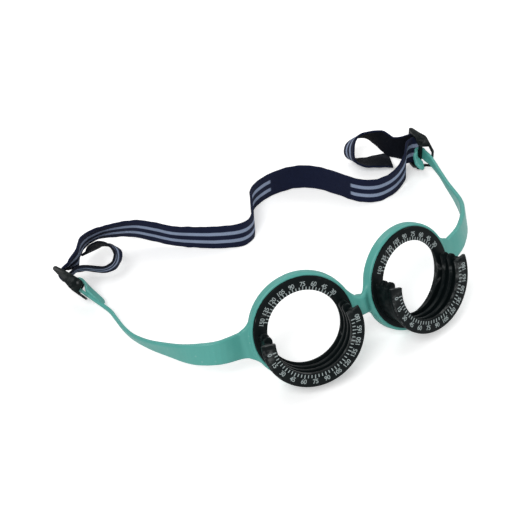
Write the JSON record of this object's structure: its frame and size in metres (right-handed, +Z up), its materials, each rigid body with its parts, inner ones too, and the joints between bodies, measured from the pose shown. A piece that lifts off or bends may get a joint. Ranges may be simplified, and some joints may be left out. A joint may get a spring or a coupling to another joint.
{
  "type": "optical trial frame",
  "caption": "Flexible optical trial frame: moulded front with two slotted half-barrel lens cells and axis dials, arms with swinging buckles and an elastic head strap.",
  "frame": {"origin": "centre of the whole object's footprint, on the table", "axes": "+Z up from the table, -Y towards the front where the lens cells face, +X to the viewer's right, which is the wearer's left"},
  "size_m": [0.2062, 0.1467, 0.0476],
  "materials": {
    "moulded_front": "flexible moulded plastic, satin, slightly pearly teal",
    "dial_plastic": "black moulded plastic with white printed scales",
    "buckle_plastic": "black moulded plastic, semi-gloss",
    "webbing": "woven elastic, navy with two pale grey-blue stripes, plain underside"
  },
  "bodies": {
    "frame": {"front_frame": "moulded_front", "right_rear_dial": "dial_plastic", "left_rear_dial": "dial_plastic", "right_slot_barrel": "dial_plastic", "left_slot_barrel": "dial_plastic", "right_front_dial": "dial_plastic", "left_front_dial": "dial_plastic", "head_strap": "webbing"},
    "right_buckle": {"right_buckle": "buckle_plastic"},
    "left_buckle": {"left_buckle": "buckle_plastic"}
  },
  "joints": [
    {"name": "right_buckle_swing", "type": "hinge", "parent": "frame", "child": "right_buckle", "pos_m": [-0.0928, 0.0458, 0.011], "axis": [-0.2793, -0.6491, 0.7076], "range_deg": [-75, 1.5], "deforming": ["head_strap"]},
    {"name": "left_buckle_swing", "type": "hinge", "parent": "frame", "child": "left_buckle", "pos_m": [0.0972, 0.0358, 0.0106], "axis": [0.1546, 0.1001, 0.9829], "range_deg": [-1.5, 75], "deforming": ["head_strap"]}
  ]
}
